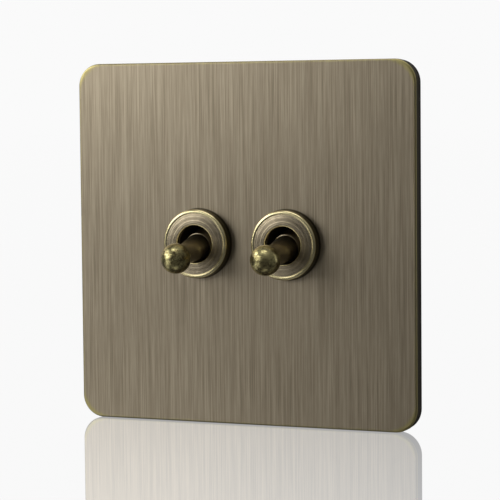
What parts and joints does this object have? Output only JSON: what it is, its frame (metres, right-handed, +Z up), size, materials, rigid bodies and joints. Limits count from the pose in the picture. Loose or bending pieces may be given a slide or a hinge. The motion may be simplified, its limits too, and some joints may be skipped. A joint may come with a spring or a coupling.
{
  "type": "toggle wall switch",
  "caption": "Toggle wall switch with a square brushed antique-brass plate, ball-ended levers in round collars, and screw-terminal modules behind.",
  "frame": {"origin": "centre of the plate on the wall plane, midway between the two fixing slots", "axes": "+Z up, -Y out of the wall towards the user, +X to the right as the user sees the plate"},
  "size_m": [0.086, 0.0481, 0.086],
  "materials": {
    "plate_brass": "antique brass, vertically brushed and lacquered",
    "turned_brass": "antique brass, turned, with rubbed bright edges",
    "knob_brass": "antique brass, polished and mottled",
    "bush_brass": "darkened brass",
    "frame_moulding": "black polycarbonate, fine matt",
    "yoke_steel": "zinc-plated sheet steel",
    "nut_steel": "nickel-plated steel",
    "screw_steel": "zinc-plated steel",
    "pin_steel": "ground steel",
    "spring_steel": "drawn spring wire",
    "nylon": "natural nylon",
    "contact_copper": "copper alloy strip",
    "silver_tip": "silver alloy",
    "terminal_brass": "plain machined brass",
    "housing_moulding": "black thermoset moulding",
    "cover_moulding": "off-white moulding"
  },
  "bodies": {
    "root": {"front_plate": "plate_brass", "backing_frame": "frame_moulding", "mounting_yoke": "yoke_steel", "earth_clamp": "terminal_brass", "earth_screw": "terminal_brass", "lock_nuts": "nut_steel", "lever_pins": "pin_steel", "rocker_pins": "pin_steel", "cover_screws": "screw_steel", "bush_left": "bush_brass", "collar_left": "turned_brass", "common_contact_left": "contact_copper", "upper_contact_left": "contact_copper", "lower_contact_left": "contact_copper", "terminal_pillars_left": "terminal_brass", "clamp_screws_left": "screw_steel", "housing_left": "housing_moulding", "cover_left": "cover_moulding", "bush_right": "bush_brass", "collar_right": "turned_brass", "common_contact_right": "contact_copper", "upper_contact_right": "contact_copper", "lower_contact_right": "contact_copper", "terminal_pillars_right": "terminal_brass", "clamp_screws_right": "screw_steel", "housing_right": "housing_moulding", "cover_right": "cover_moulding"},
    "lever_left": {"lever_left": "knob_brass", "plunger_spring_left": "spring_steel"},
    "plunger_left": {"plunger_left": "nylon"},
    "rocker_left": {"rocker_left": "contact_copper", "rocker_tips_left": "silver_tip"},
    "lever_right": {"lever_right": "knob_brass", "plunger_spring_right": "spring_steel"},
    "plunger_right": {"plunger_right": "nylon"},
    "rocker_right": {"rocker_right": "contact_copper", "rocker_tips_right": "silver_tip"}
  },
  "joints": [
    {"name": "toggle_left", "type": "hinge", "parent": "root", "child": "lever_left", "pos_m": [-0.01125, 0.0008, 0], "axis": [1, 0, 0], "range_deg": [-17, 0]},
    {"name": "plunge_left", "type": "slide", "parent": "lever_left", "child": "plunger_left", "axis": [0, -0.989, -0.1478], "range_m": [0, 0.0004], "stiffness_N_per_m": 400, "springref_m": -0.002, "deforming": ["plunger_spring_left"]},
    {"name": "rock_left", "type": "hinge", "parent": "root", "child": "rocker_left", "pos_m": [-0.01125, 0.0142, 0], "axis": [1, 0, 0], "range_deg": [0, 20.4]},
    {"name": "toggle_right", "type": "hinge", "parent": "root", "child": "lever_right", "pos_m": [0.01125, 0.0008, 0], "axis": [1, 0, 0], "range_deg": [-17, 0]},
    {"name": "plunge_right", "type": "slide", "parent": "lever_right", "child": "plunger_right", "axis": [0, -0.989, -0.1478], "range_m": [0, 0.0004], "stiffness_N_per_m": 400, "springref_m": -0.002, "deforming": ["plunger_spring_right"]},
    {"name": "rock_right", "type": "hinge", "parent": "root", "child": "rocker_right", "pos_m": [0.01125, 0.0142, 0], "axis": [1, 0, 0], "range_deg": [0, 20.4]}
  ],
  "couplings": [
    {"joint": "rock_left", "follows": "toggle_left", "ratio": -1.2},
    {"joint": "rock_right", "follows": "toggle_right", "ratio": -1.2}
  ]
}
